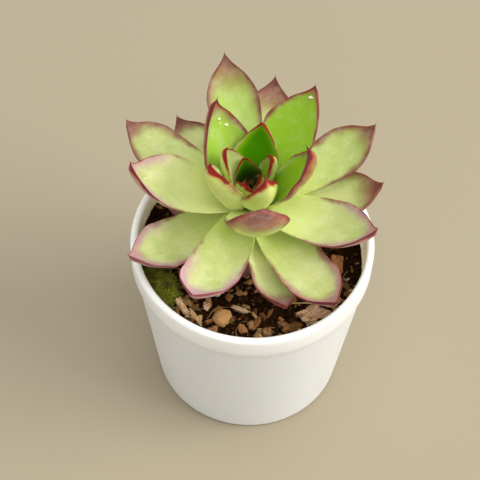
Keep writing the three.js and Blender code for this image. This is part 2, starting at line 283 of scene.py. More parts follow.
def arc(radius, centre, start, end, steps):
    angles = [math.radians(start + (end - start) * i / steps) for i in range(steps + 1)]
    return [(centre[0] + radius * math.cos(a), centre[1] + radius * math.sin(a)) for a in angles]


def straight(start, end, steps):
    return [(start[0] + (end[0] - start[0]) * i / steps, start[1] + (end[1] - start[1]) * i / steps)
            for i in range(1, steps)]


def circle(radius, sides, first=0.0):
    """Points round the axis, the first of them turned by a share of a step."""
    angles = (2 * math.pi * (i + first) / sides for i in range(sides))
    return [(radius * math.cos(angle), radius * math.sin(angle)) for angle in angles]


def turned(profile, sides):
    """Points and faces of a round body from [radius, height] pairs in millimetres, axis to axis."""
    points, faces, rings = [], [], []
    for radius, height in profile:
        count = sides if radius > 1e-6 else 1
        rings.append((len(points), count))
        points += [(x * mm, y * mm, height * mm) for x, y in circle(radius, count)]
    for (low, low_count), (high, high_count) in zip(rings, rings[1:]):
        for i in range(sides):
            j = (i + 1) % sides
            if low_count == 1:
                faces.append((low, high + j, high + i))
            elif high_count == 1:
                faces.append((low + i, low + j, high))
            else:
                faces.append((low + i, low + j, high + j, high + i))
    return points, faces


def outward(thing):
    """Turns the faces of a closed mesh to look out."""
    body = bmesh.new()
    body.from_mesh(thing.data)
    bmesh.ops.recalc_face_normals(body, faces=body.faces)
    body.to_mesh(thing.data)
    body.free()


shoulder_top = (rim_radius, band_foot + band_shoulder[-1][1])
under_band = (inner_radius(band_foot - inner_step), band_foot - inner_step)
wall_bottom = (inner_radius(wall_foot), wall_foot)
profile = [
    (0, 0),
    (foot_flat, 0),
    *arc(foot_rounding, (foot_radius - foot_rounding, foot_rounding), -90, 0, 8),
    *straight((foot_radius, foot_rounding), (wall_radius, band_foot + band_shoulder[0][1]), 12),
    *((wall_radius + out, band_foot + rise) for out, rise in band_shoulder),
    *straight(shoulder_top, (rim_radius, pot_height - lip_rounding), 3),
    *arc(lip_rounding, (rim_radius - lip_rounding, pot_height - lip_rounding), 0, 180, 12),
    *straight((lip_radius, pot_height - lip_rounding), (lip_radius, band_foot), 3),
    (lip_radius, band_foot),
    under_band,
    *straight(under_band, wall_bottom, 8),
    *arc(foot_rounding, (wall_bottom[0] - foot_rounding, floor_thickness + foot_rounding), 0, -90, 6),
    (floor_flat, floor_thickness),
    (0, floor_thickness),
]
pot = piece("white_pot", *turned(profile, pot_sides), plastic)
outward(pot)
bore = [(0, drain_hole["bottom"]), (drain_hole["radius"], drain_hole["bottom"]),
        (drain_hole["radius"], drain_hole["top"]), (0, drain_hole["top"])]
bore_points, bore_faces = turned(bore, drain_hole["sides"])
for x, y in circle(drain_hole["circle"], drain_hole["count"]):
    middle = Vector((x, y, 0)) * mm
    drill = piece("drill", [Vector(point) + middle for point in bore_points], bore_faces, plastic)
    outward(drill)
    cut = pot.modifiers.new("drain_hole", "BOOLEAN")
    cut.operation = "DIFFERENCE"
    cut.solver = "EXACT"
    cut.object = drill
    bpy.context.view_layer.objects.active = pot
    bpy.ops.object.modifier_apply(modifier=cut.name)
    bpy.data.objects.remove(drill)
pot.data.shade_smooth()
pot.data.set_sharp_from_angle(angle=math.radians(sharpest_bend))
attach(pot, "root")
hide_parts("pot")

# ---- Soil ----
# Moist peaty potting soil fills the pot to 8 mm below its rim. Its top is crumbly and uneven, and
# strewn with loose crumbs, rootlets and splinters.

clearance = 0.3
soil_height = 54
soil_slope = {"x": -0.055, "y": 0.01}
soil_lump = 0.9
soil_edge = 32.45
crumb_height = 0.55
soil_rings = 92
soil_sides = 300
wet_peat = (0.006, 0.002, 0.0005)
moist_peat = (0.030, 0.012, 0.003)
dry_peat = (0.07, 0.028, 0.007)

# Below its edge the soil goes down the wall: the height of each ring, and how far it draws in.
soil_flank = ((soil_height - 5, 0), (floor_thickness + 3, 0), (floor_thickness + clearance, 2))


def lumps(x, y):
    broad = math.sin(0.31 * x + 1.3) * math.cos(0.27 * y - 0.6)
    middle = math.sin(0.83 * x - 0.71 * y + 2.1) * math.cos(0.64 * x + 0.9 * y)
    fine = math.sin(1.9 * x + 1.1 * y) * math.cos(1.6 * y - 0.8 * x + 0.4)
    return soil_lump * (0.55 * broad + 0.5 * middle + 0.35 * fine)


def soil_top(x, y):
    return soil_height + soil_slope["x"] * x + soil_slope["y"] * y + lumps(x, y)


def crumbly(x, y):
    """The soil's top with its crumbs, in millimetres."""
    coarse = noise.noise((0.55 * x, 0.55 * y, 3.1))
    medium = 1 - 2 * abs(noise.noise((1.3 * x, 1.3 * y, 7.7)))
    fine = noise.noise((3.4 * x, 3.4 * y, 1.9))
    return soil_top(x, y) + crumb_height * (0.7 * coarse + 0.5 * medium + 0.35 * fine - 0.35)


peat, tree, shader = finish("potting_soil", Specular_IOR_Level=0.05)
place = place_mm(tree)
patches = cloudy(place, 0.35, 5, 0.65)
crumbs = cloudy(place, 2.6, 6, 0.72)
brown = painted(wet_peat, (fade(crumbs, 0.3, 0.7), moist_peat), (fade(patches, 0.5, 0.8, 0, 0.6), dry_peat))
feed(shader, Base_Color=brown, Roughness=fade(patches, 0.3, 0.7, 0.62, 0.95))
raise_surface(shader, crumbs, 0.5 * mm, 0.9)

points, faces = [Vector((0, 0, crumbly(0, 0))) * mm], []
for ring in range(1, soil_rings + 1):
    for x, y in circle(soil_edge * ring / soil_rings, soil_sides, 0.5 * (ring % 2)):
        points.append(Vector((x, y, crumbly(x, y))) * mm)
for height, inset in soil_flank:
    for x, y in circle(inner_radius(height) - clearance - inset, soil_sides):
        points.append(Vector((x, y, height)) * mm)
points.append(Vector((0, 0, floor_thickness + clearance)) * mm)
bottom = len(points) - 1 - soil_sides
for i in range(soil_sides):
    j = (i + 1) % soil_sides
    faces.append((0, 1 + i, 1 + j))
    for low in range(1, bottom, soil_sides):
        high = low + soil_sides
        faces.append((low + i, high + i, high + j, low + j))
    faces.append((bottom + j, bottom + i, len(points) - 1))
soil = piece("soil_body", points, faces, peat)
outward(soil)
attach(soil, "root")
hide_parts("soil")

# ---- Loose crumbs on the soil ----
# Crumbs of peat, broken bark and a few pale grains, 0.4 to 4 mm across, lie on the soil as they
# fell, the woody ones mostly in front. Fine rootlets and a straw lie between them.

crumb_count = 2600
crumb_size = {"least": 0.45, "spread": 1.3, "rarity": 2.6}
chip_count = 420
chip_length = {"least": 0.9, "spread": 3.4, "rarity": 2.2}
coarse_chip = 2.4
grain_corners = (0.72, 1.12)
sunk_share = 0.35
front_line = -8
wall_room = 0.9
rootlet_count = 40
rootlet_length = (2.5, 8)
rootlet_radius = (0.08, 0.17)
rootlet_step = 0.45
rootlet_arch = 0.3
rootlet_lift = 0.12
straw_ends = Vector((11.0, -17.2, 54.5)), Vector((23.6, -18.7, 55.4))
straw_rise = 1.2
straw_radius = 0.2
straw_steps = 12
dark_crumb = (0.005, 0.0018, 0.0004)
brown_crumb = (0.07, 0.026, 0.005)
damp_crumb = (0.014, 0.005, 0.0015)
pale_grain = (0.42, 0.33, 0.21)
dark_chip = (0.10, 0.042, 0.010)
light_chip = (0.56, 0.34, 0.14)
reddish_chip = (0.27, 0.095, 0.018)
soiled_chip = (0.09, 0.038, 0.012)
dark_rootlet = (0.08, 0.035, 0.012)
pale_rootlet = (0.44, 0.30, 0.15)
loose = random.Random(11)


def stored(tree, name, output="Fac"):
    """A value that the mesh carries on its points."""
    return finish_node("Attribute", tree=tree, attribute_name=name).outputs[output]


def spot_on_soil(draw, front_share=0.0):
    """A random place on the soil in millimetres, more often in front for a higher front_share."""
    while True:
        x, y = draw.uniform(-1, 1) * soil_edge, draw.uniform(-1, 1) * soil_edge
        if math.hypot(x, y) < soil_edge - wall_room and (y < front_line or draw.random() > front_share):
            return x, y


def drawn_in(point, limit):
    """A point brought no further than limit from the pot's axis."""
    reach = math.hypot(point.x, point.y)
    if reach > limit:
        return Vector((point.x * limit / reach, point.y * limit / reach, point.z))
    return point


def stretched(point, factors):
    return Vector([part * factor for part, factor in zip(point, factors)])


def renumbered(faces, first):
    """The faces of a body whose points come after the first ones of a mesh."""
    return [tuple(first + corner for corner in face) for face in faces]


def ball(detail, radius):
    """Points and faces of a ball."""
    body = bmesh.new()
    bmesh.ops.create_icosphere(body, subdivisions=detail, radius=radius)
    points = [vertex.co.copy() for vertex in body.verts]
    faces = [tuple(corner.index for corner in face.verts) for face in body.faces]
    body.free()
    return points, faces


def grain_points(draw, size, detail):
    """A small angular body: a ball of few faces, each point pushed in or out."""
    points, faces = ball(detail, 0.5)
    turn = draw.uniform(0, 2 * math.pi)
    spin = Matrix.Rotation(turn, 3, Vector((draw.random(), draw.random(), 0.2)).normalized())
    return [stretched(spin @ point * draw.uniform(*grain_corners), size) for point in points], faces


def drawn_size(draw, sizes):
    """A random size, more often a small one."""
    return sizes["least"] + sizes["spread"] * draw.random() ** sizes["rarity"]


def crumb(draw):
    size = drawn_size(draw, crumb_size)
    return grain_points(draw, (size, size * draw.uniform(0.6, 1), size * draw.uniform(0.5, 0.9)), 1)


def woody_chip(draw):
    long = drawn_size(draw, chip_length)
    return grain_points(draw, (long, long * draw.uniform(0.35, 0.8), long * draw.uniform(0.25, 0.5)),
                        2 if long > coarse_chip else 1)


def scatter(name, count, draw, make, material, front_share):
    """Many small bits as one mesh. Each carries its own tone and kind."""
    points, faces, tones, kinds = [], [], [], []
    for _ in range(count):
        x, y = spot_on_soil(draw, front_share)
        body, sides = make(draw)
        flat_turn = Matrix.Rotation(draw.uniform(0, 2 * math.pi), 3, "Z")
        tilt = Matrix.Rotation(draw.gauss(0, 0.3), 3, "X") @ Matrix.Rotation(draw.gauss(0, 0.2), 3, "Y")
        laid = [flat_turn @ tilt @ point for point in body]
        low, high = min(point.z for point in laid), max(point.z for point in laid)
        seat = Vector((x, y, crumbly(x, y) - low - sunk_share * (high - low)))
        faces += renumbered(sides, len(points))
        points += [drawn_in(point + seat, soil_edge) * mm for point in laid]
        tones += [draw.random()] * len(laid)
        kinds += [draw.random()] * len(laid)
    bits = piece(name, points, faces, material, smooth=False, carried={"tone": tones, "kind": kinds})
    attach(bits, "root")


crumb_finish, tree, shader = finish("peat_crumbs", Specular_IOR_Level=0.05, Roughness=0.85)
crumbs = cloudy(place_mm(tree), 3.0, 5, 0.7)
brown = painted(dark_crumb, (fade(stored(tree, "tone"), 0.3, 1.0), brown_crumb),
                (fade(crumbs, 0.4, 0.7, 0, 0.6), damp_crumb),
                (fade(stored(tree, "kind"), 0.98, 0.985), pale_grain))
feed(shader, Base_Color=brown)
raise_surface(shader, crumbs, 0.25 * mm, 0.8)
scatter("peat_crumbs", crumb_count, loose, crumb, crumb_finish, 0.1)

chip_finish, tree, shader = finish("small_chips", Specular_IOR_Level=0.25, Roughness=0.8)
fibres = cloudy(place_mm(tree), 2.2, 5, 0.7)
wood = painted(dark_chip, (reckon("POWER", stored(tree, "tone"), 2.8), light_chip),
               (fade(stored(tree, "kind"), 0.55, 0.75, 0, 0.6), reddish_chip),
               (fade(fibres, 0.5, 0.8, 0, 0.7), soiled_chip))
feed(shader, Base_Color=wood)
raise_surface(shader, fibres, 0.3 * mm, 0.8)
scatter("small_chips", chip_count, loose, woody_chip, chip_finish, 0.6)


def thread(route, radius, sides=5):
    """Points and faces of a thin round thread along a route in millimetres."""
    points, faces = [], []
    for i, spot in enumerate(route):
        ahead = (route[min(i + 1, len(route) - 1)] - route[max(i - 1, 0)]).normalized()
        side = ahead.cross(Vector((0, 0, 1))).normalized()
        over = side.cross(ahead)
        thin = radius * (0.45 if i in (0, len(route) - 1) else 1)
        points += [(spot + side * x + over * y) * mm for x, y in circle(thin, sides)]
    for i in range(len(route) - 1):
        for k in range(sides):
            a, b = i * sides + k, i * sides + (k + 1) % sides
            faces.append((a, b, b + sides, a + sides))
    faces.append(tuple(reversed(range(sides))))
    faces.append(tuple(range(len(points) - sides, len(points))))
    return points, faces


def rootlet_route(draw, x, y, length):
    heading = draw.uniform(0, 2 * math.pi)
    curl = draw.gauss(0, 0.16)
    steps = length / rootlet_step
    route = []
    for i in range(int(steps)):
        if math.hypot(x, y) > soil_edge - 0.6:
            break
        arch = rootlet_arch * math.sin(math.pi * i / steps)
        route.append(Vector((x, y, crumbly(x, y) + rootlet_lift + arch)))
        heading += curl + draw.gauss(0, 0.1)
        x, y = x + rootlet_step * math.cos(heading), y + rootlet_step * math.sin(heading)
    return route


root_finish, tree, shader = finish("rootlets", Specular_IOR_Level=0.35, Roughness=0.7)
feed(shader, Base_Color=mix_colours(stored(tree, "tone"), dark_rootlet, pale_rootlet))
points, faces, tones = [], [], []
for _ in range(rootlet_count):
    x, y = spot_on_soil(loose, 0.3)
    route = rootlet_route(loose, x, y, loose.uniform(*rootlet_length))
    if len(route) < 4:
        continue
    rootlet, sides = thread(route, loose.uniform(*rootlet_radius))
    faces += renumbered(sides, len(points))
    tones += [loose.random()] * len(rootlet)
    points += rootlet
rootlets = piece("rootlets", points, faces, root_finish, carried={"tone": tones})
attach(rootlets, "root")

route = []
for i in range(straw_steps + 1):
    arch = straw_rise * math.sin(math.pi * i / straw_steps)
    route.append(straw_ends[0].lerp(straw_ends[1], i / straw_steps) + Vector((0, 0, arch)))
points, faces = thread(route, straw_radius, 7)
straw = piece("straw", points, faces, root_finish, carried={"tone": [1.0] * len(points)})
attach(straw, "root")

# ---- Bark, wood and stone on the soil ----
# Flat pieces of pine bark, two pale fibrous slivers of wood, a twig and a rounded ochre pebble lie
# half sunk in the soil at the front, and more bark lies behind the stem.

chip_seat = 0.12

# Each bit's form, its place on the soil, its size, and its degrees of turn and tilt.
chips = {
    "pebble_tan": ("pebble", (-7.8, -22.6), (6, 5.4, 4.2), 25, 0),
    "wood_sliver_1": ("sliver", (-19, -20.6), (7.6, 2.2, 2), -58, 8),
    "wood_sliver_2": ("sliver", (-15.4, -23.2), (7.2, 2.4, 2), -50, -6),
    "twig": ("twig", (-2.6, -20), (6.4, 1.7, 1.5), -17, 6),
    "bark_large": ("plate", (17.6, -20), (13, 10, 4.2), 27, -8),
    "bark_1": ("bark", (-12.2, -19), (3.6, 2.8, 2.4), 70, 0),
    "bark_2": ("bark", (-10.6, -27.2), (3.8, 3, 2.4), 15, 0),
    "bark_3": ("bark", (0.4, -24.6), (3.6, 3.2, 2.6), 100, 0),
    "bark_4": ("bark", (4.9, -26.8), (3.6, 3, 2.4), 40, 0),
    "bark_5": ("bark", (9.6, -23.2), (4.6, 1.8, 1.8), 125, 10),
    "bark_6": ("bark", (9.3, -28), (4, 2.6, 2.2), -10, 0),
    "bark_orange": ("bark", (24.6, -3), (7.6, 4.6, 3.4), 80, -14),
    "grit_white": ("pebble", (-9.6, -14.6), (2.4, 2, 1.8), 0, 0),
}
back_chips = {"count": 8, "first_angle": -4, "angle_step": 24, "radii": (19, 27), "turn_step": 61}
for i in range(back_chips["count"]):
    angle = math.radians(back_chips["first_angle"] + back_chips["angle_step"] * i)
    radius = back_chips["radii"][i % 2]
    kind = i % 3
    chips[f"chip_back_{i + 1}"] = (
        "bark" if kind else "pebble", (radius * math.cos(angle), radius * math.sin(angle)),
        (4.6 - 0.6 * kind, 3.4, 2.6), back_chips["turn_step"] * i, 12 * (kind - 1))

# How each form is broken: how many flat breaks it has, how sharp they are, its grain's relief and
# stretch, and how boxy it is.
chip_forms = {
    "pebble": {"breaks": 30, "sharpness": 5, "relief": 0.03, "stretch": (1.2, 1.2, 1.2), "boxy": 0.0},
    "bark": {"breaks": 7, "sharpness": 26, "relief": 0.15, "stretch": (0.5, 2.4, 3.2), "boxy": 0.55},
    "plate": {"breaks": 9, "sharpness": 40, "relief": 0.26, "stretch": (0.16, 0.75, 1.6), "boxy": 0.75},
    "sliver": {"breaks": 4, "sharpness": 26, "relief": 0.20, "stretch": (0.12, 4.2, 4.2), "boxy": 0.8},
    "twig": {"breaks": 10, "sharpness": 14, "relief": 0.14, "stretch": (0.25, 3.0, 3.0), "boxy": 0.5},
}
grime = (0.05, 0.025, 0.011)
chip_colours = {"bark_orange": "orange", "grit_white": "white",
                "bark_large": "pinkish", "bark_1": "pinkish"}
finest_bits = ("pebble_tan", "bark_large", "bark_orange", "wood_sliver_1", "wood_sliver_2")
side_lean = 0.16
side_break = (0.3, 0.5)
corner_break = (0.82, 1.0)
breaking = random.Random(23)


def astray(draw, spread):
    """A random way to lean."""
    return Vector([draw.gauss(0, spread) for _ in range(3)])


def broken_bit(draw, form, size, detail):
    """Points in millimetres, and faces, of a ball broken flat on all sides and worn along its grain."""
    breaks = []
    for axis in (Vector((1, 0, 0)), Vector((0, 1, 0)), Vector((0, 0, 1))):
        for way in (1, -1):
            facing = (axis * way + astray(draw, side_lean)).normalized()
            breaks.append((facing, 1 - form["boxy"] * draw.uniform(*side_break)))
    for _ in range(form["breaks"]):
        breaks.append((astray(draw, 1).normalized(), draw.uniform(*corner_break)))
    offset = draw.uniform(0, 90)
    round_points, faces = ball(detail, 1)
    points = []
    for point in round_points:
        pressure = sum((max(0.0, point.dot(facing)) / far) ** form["sharpness"] for facing, far in breaks)
        points.append(point * pressure ** (-1 / form["sharpness"]))
    reach = [max(abs(point[axis]) for point in points) for axis in range(3)]
    shaped = []
    for point in points:
        spot = Vector([point[axis] / reach[axis] * 0.5 * size[axis] for axis in range(3)])
        grain = stretched(spot, form["stretch"])
        ridge = noise.noise(grain + Vector((offset, 0, 0)))
        ridge += 0.5 * noise.noise(2.3 * grain + Vector((0, offset, 0)))
        shaped.append(spot * (1 - form["relief"] * (0.9 - 1.6 * ridge)))
    return shaped, faces


def wood_grain():
    """Fibres, cracks and dust along a bit's own grain, shared by every wooden finish."""
    group = bpy.data.node_groups.new("wood_grain", "ShaderNodeTree")
    for name in ("Light", "Dark"):
        group.interface.new_socket(name, in_out="INPUT", socket_type="NodeSocketColor")
    group.interface.new_socket("Dust", in_out="INPUT", socket_type="NodeSocketFloat")
    group.interface.new_socket("Colour", in_out="OUTPUT", socket_type="NodeSocketColor")
    group.interface.new_socket("Height", in_out="OUTPUT", socket_type="NodeSocketFloat")
    given, result = group.nodes.new("NodeGroupInput"), group.nodes.new("NodeGroupOutput")
    light, dark, dust = (given.outputs[name] for name in ("Light", "Dark", "Dust"))
    place = stored(group, "grain_place", "Vector")
    fibres = cloudy(place, 2.4, 6, 0.7, stretch=(0.22, 1.5, 1.5))
    patches = cloudy(place, 0.55, 4, 0.6)
    soiled = times(fade(cloudy(place, 1.7, 6, 0.7), 0.5, 0.7), dust)
    colour = painted(dark, (fade(fibres, 0.36, 0.66), light), (fade(patches, 0.42, 0.72, 0, 0.55), dark),
                     (soiled, grime))
    group.links.new(colour, result.inputs["Colour"])
    group.links.new(fibres, result.inputs["Height"])
    return group


grain_group = wood_grain()


def wooden(name, light, dark, dust):
    """A dry finish with the shared grain, in its own two colours and dustiness."""
    material, tree, shader = finish(name, Specular_IOR_Level=0.35, Roughness=0.78)
    sockets = {"Light": (*light, 1), "Dark": (*dark, 1), "Dust": dust}
    grain = finish_node("Group", sockets, tree, node_tree=grain_group)
    feed(shader, Base_Color=grain.outputs["Colour"])
    raise_surface(shader, grain.outputs["Height"], 0.35 * mm, 0.8)
    return material


chip_finishes = {
    "pebble": wooden("ochre_stone", (0.60, 0.34, 0.13), (0.48, 0.25, 0.085), 0.2),
    "white": wooden("pale_stone", (0.86, 0.84, 0.78), (0.74, 0.69, 0.6), 0.1),
    "sliver": wooden("pale_wood", (0.86, 0.64, 0.38), (0.36, 0.19, 0.075), 0.35),
    "twig": wooden("twig_wood", (0.80, 0.58, 0.38), (0.34, 0.19, 0.09), 0.3),
    "orange": wooden("orange_bark", (0.50, 0.21, 0.055), (0.20, 0.08, 0.025), 0.6),
    "bark": wooden("brown_bark", (0.42, 0.23, 0.10), (0.14, 0.058, 0.018), 0.5),
    "pinkish": wooden("pinkish_bark", (0.94, 0.66, 0.43), (0.33, 0.15, 0.07), 0.45),
}
for name, (form, (x, y), size, turn, tilt) in chips.items():
    shaped, faces = broken_bit(breaking, chip_forms[form], size, 5 if name in finest_bits else 4)
    seat = Vector((x, y, soil_top(x, y) + chip_seat * size[2]))
    laid = Matrix.Rotation(math.radians(turn), 3, "Z") @ Matrix.Rotation(math.radians(tilt), 3, "Y")
    points = [(laid @ point + seat) * mm for point in shaped]
    material = chip_finishes[chip_colours.get(name, form)]
    bit = piece(f"{name}_broken", points, faces, material, carried={"grain_place": shaped})
    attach(bit, "root")
    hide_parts(name)

# ---- Moss ----
# A low cushion of living moss at the front left, grown against the wall. Each shoot is a little
# star of pointed leaves.

moss = {"at": (-25.6, -12.4), "size": (14, 7, 4.6), "turn": -64}
moss_shoots = 560
stray_share = 0.3
shoot_leaves = 6
shoot_stalk = (0.25, 0.7)
shoot_leaf = {"half_width": (0.11, 0.19), "length": (0.8, 1.5)}
wall_gap = 0.25
shaded_moss = (0.028, 0.034, 0.0008)
fresh_moss = (0.23, 0.25, 0.006)
moss_tips = (0.28, 0.31, 0.015)
dry_moss = (0.060, 0.036, 0.004)
growing = random.Random(5)
moss_turn = Matrix.Rotation(math.radians(moss["turn"]), 3, "Z")
moss_seat = Vector((*moss["at"], soil_top(*moss["at"])))

# How near to its tip each corner of a shoot's leaf is, which makes it paler.
leaf_corner_reach = [0.1, 0.1, 0.6, 0.6, 1.0]


def moss_skin(direction):
    """A point of the cushion's surface in millimetres, with tufts."""
    tuft = 0.93 + 0.10 * noise.noise(direction * 3.1) + 0.05 * noise.noise(direction * 7.3)
    return moss_turn @ (0.5 * tuft * stretched(direction, moss["size"])) + moss_seat


def inside_wall(point, gap=wall_gap):
    """Keeps a point in millimetres off the pot's wall."""
    return drawn_in(point, (lip_radius if point.z > band_foot else inner_radius(point.z)) - gap)


moss_finish, tree, shader = finish(
    "moss_green", Specular_IOR_Level=0.3, Roughness=0.8, Subsurface_Weight=0.2,
    Subsurface_Radius=(0.6, 1.0, 0.2), Subsurface_Scale=0.6 * mm)
brownish = fade(cloudy(place_mm(tree), 0.3, 3), 0.45, 0.62, 0, 0.75)
green = painted(shaded_moss, (reckon("POWER", stored(tree, "tone"), 1.7), fresh_moss),
                (fade(stored(tree, "reach"), 0.3, 1.0, 0, 0.35), moss_tips), (brownish, dry_moss))
feed(shader, Base_Color=green)

directions, faces = ball(5, 1)
points = [inside_wall(moss_skin(direction)) * mm for direction in directions]
tones, reaches = [0.1] * len(points), [0.0] * len(points)
all_points = len(points) + moss_shoots * shoot_leaves * len(leaf_corner_reach)
while len(points) < all_points:
    direction = Vector((growing.gauss(0, 1), growing.gauss(0, 1), abs(growing.gauss(0, 1)))).normalized()
    foot = moss_skin(direction)
    if growing.random() < stray_share:
        foot += (foot - moss_seat) * growing.uniform(0.0, 0.45)
        foot.z = crumbly(foot.x, foot.y)
        foot = inside_wall(foot, 0.6)
    if foot.z < crumbly(foot.x, foot.y) - 0.2:
        continue
    grows = (moss_turn @ direction + Vector((0, 0, 0.8))).normalized()
    stalk, tone = growing.uniform(*shoot_stalk), growing.random()
    side = grows.cross(Vector((growing.gauss(0, 1), growing.gauss(0, 1), 0.3))).normalized()
    for k in range(shoot_leaves):
        around = Matrix.Rotation(2 * math.pi * k / shoot_leaves + growing.uniform(-0.3, 0.3), 3, grows)
        out = around @ side
        broad = grows.cross(out) * growing.uniform(*shoot_leaf["half_width"])
        length = growing.uniform(*shoot_leaf["length"])
        low = foot + grows * stalk * 0.4
        middle = low + (out * 0.45 + grows * 0.5) * length
        tip = low + (out * 0.95 + grows * 0.62) * length
        leaflet = (low - broad * 0.5, low + broad * 0.5, middle + broad, middle - broad, tip)
        faces += renumbered([(0, 1, 2, 3), (3, 2, 4)], len(points))
        points += [inside_wall(spot, 0.12) * mm for spot in leaflet]
        tones += [tone] * len(leaflet)
        reaches += leaf_corner_reach
cushion = piece("moss_cushion", points, faces, moss_finish, carried={"tone": tones, "reach": reaches})
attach(cushion, "root")
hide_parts("moss")

# ---- Leaves ----
# The rosette's fleshy leaves stand round the stem by the golden angle, each larger and flatter than
# the one inside it. A leaf is a thick, channelled blade with a red margin, a mauve tip and a bloom
# of wax over its skin, and it ends in a hair-fine point.

plant_foot = Vector((-1.3, 6.6, 54))
plant_lean = 4.2
stem_radius = 4.4
stem_depth = 16
crown_height = 22.6
first_turn = 342
golden_angle = 137.5
leaf_step = 0.24
root_step = 0.5
root_inset = 0.8
rise = {"heart": 79, "per_rank": 1.2, "flattening": 45, "flattens_from": 8, "flattens_to": 16}
length = {"heart": 10.5, "per_rank": 2.3, "full": 38, "shrinks_from": 17, "shrink_per_rank": 0.6}
width = {"heart": 4.2, "per_rank": 1.1, "full": 15.4}
thickness = {"heart": 1.6, "per_rank": 0.26, "full": 4.2}
blade_dip = {"inner": 6, "outer": 17}
shoulder_at = {"inner": 0.46, "outer": 0.66}
taper_power = {"inner": 1.2, "outer": 1.6}
channel_depth = {"inner": 0.5, "outer": 0.26}
tip_pinch = 0.4
root_share = 0.5
tip_share = 0.22
leaf_edge = 0.45
width_wave = 0.035
margin_wave = 0.06
skin_ripple = 0.10
point_length = 0.8
point_radius = 0.09
leaf_stations = 46
point_stations = (0, 0.35, 0.7, 1)
across_upper = [math.sin(math.pi / 2 * k / 12) for k in range(-12, 13)]
across_under = [math.sin(math.pi / 2 * k / 9) for k in range(9, -10, -1)]
under_leaf = {"rise": -6, "length": 20, "width": 9, "thickness": 3.1}
heart_ranks = (-2, -1, 0, 1, 2)
first_free_leaf = 3
last_rosette_leaf = 23
under_leaves = (24, 25, 26, 27, 28, 31)

# How single leaves depart from the rule: degrees of turn, rise, dip and roll, and millimetres of size.
habits = ("turn", "rise", "dip", "roll", "length", "width", "skew", "channel", "power", "pinch")
habit = {
    0: {"turn": 4, "rise": -2, "dip": 6, "length": 0.6, "width": 1.4},
    1: {"turn": -4, "dip": 8, "length": 0.8, "width": 3},
    2: {"turn": -4, "rise": -3, "roll": -18, "length": -1.5, "width": 2, "channel": -0.3},
    3: {"turn": -18, "rise": 5, "dip": 8, "roll": -10, "length": 1.6, "width": -0.4},
    4: {"turn": -9, "rise": 3, "dip": 3, "roll": 2, "length": 1.4, "width": 0.6},
    5: {"turn": -13, "dip": 7, "roll": 6, "width": 1.6, "channel": -0.12, "power": 0.5, "pinch": -0.3},
    6: {"turn": -11, "rise": -2, "dip": 8, "length": -2, "width": 2.8},
    7: {"turn": -3, "dip": -1, "length": 6, "width": -1},
    8: {"turn": -14, "rise": 1, "dip": 10, "roll": 2, "length": 3.6, "width": 1, "channel": -0.2},
    9: {"turn": 4, "roll": -6, "length": -1, "width": 2.2, "skew": -5.2, "channel": -0.15},
    10: {"turn": -1, "rise": -2, "dip": 11, "roll": -2, "length": -5, "width": 1.8, "skew": 1.5,
         "channel": -0.36, "power": 3.6, "pinch": -0.4},
    11: {"turn": -4, "rise": -3, "length": -1, "width": 1.2},
    12: {"turn": -4, "rise": -3, "dip": 3, "roll": -8, "length": -1, "width": 1},
    13: {"turn": 2, "rise": -7, "roll": 6, "length": 1},
    14: {"turn": -7, "rise": 5, "length": 1, "width": -0.5, "skew": 1.9},
    15: {"turn": 9, "rise": -1, "dip": -8, "length": -0.8, "skew": -3.2, "power": 1, "pinch": -0.25},
    16: {"turn": 6, "rise": 5},
    17: {"turn": -6, "rise": 6},
    18: {"turn": 7, "rise": -1, "dip": -6, "length": 3},
    19: {"turn": 6},
    20: {"turn": 2, "power": -0.35},
    21: {"turn": 16, "rise": 3, "length": -1},
    22: {"rise": -7, "length": -2},
    23: {"turn": 24, "rise": -5, "dip": -8, "roll": -10, "length": -3, "width": -1.4},
    26: {"turn": 8, "length": 3},
    31: {"turn": -16, "length": -2},
}

# How each leaf is coloured, 0 being not at all: the red of its margin, the mauve of its outer part, how
# deep the green of its hollow is, the pale pink at its tip, and how far the pale green of its root goes.
# The deep green is partly painted shade, and a deep above 1 paints shade into the heart. Leaf 23's
# large pale is painted light, lightening a leaf that lies in the shade of its neighbours.
colour_names = ("red", "mauve", "deep", "pink", "pale")
colouring = {
    3: (1.0, 0.15, 0.4, 0.0, 0.3),
    4: (1.0, 0.0, 0.15, 0.0, 0.8),
    5: (1.0, 0.12, 0.2, 0.0, 1.5),
    6: (1.0, 0.05, 1.0, 0.0, 0.0),
    7: (1.0, 0.15, 0.3, 0.0, 0.8),
    8: (0.9, 0.6, 0.46, 0.0, 0.3),
    9: (0.95, 0.55, 0.33, 0.0, 0.0),
    10: (0.5, 0.52, 0.1, 0.1, 0.4),
    11: (0.8, 0.35, 0.42, 0.0, 0.15),
    12: (0.95, 0.2, 0.0, 0.9, 0.5),
    13: (0.9, 0.4, 0.05, 0.8, 0.5),
    14: (0.15, 1.0, 0.26, 0.0, 0.4),
    15: (0.8, 0.3, 0.0, 1.0, 0.0),
    16: (0.3, 0.55, 0.1, 0.0, 0.15),
    17: (0.15, 0.5, 0.05, 0.1, 0.0),
    18: (1.0, 0.55, 0.0, 0.4, 0.0),
    19: (0.1, 0.9, 0.0, 0.0, 0.0),
    20: (0.7, 0.4, 0.0, 0.8, 0.0),
    21: (0.3, 0.65, 0.0, 0.0, 0.3),
    22: (0.1, 0.42, 0.0, 0.0, 2.0),
    # Leaf 23's pale of 2.5 is painted light on a leaf shaded by its neighbours.
    23: (0.9, 0.45, 0.0, 0.45, 2.5),
}
usual_colouring = (0.6, 0.5, 0.0, 0.5, 0.0)
# The heart's deep of 1.5 paints shade near the root of its leaves.
heart_colouring = (1.0, 0.0, 1.5, 0.0, 0.0)

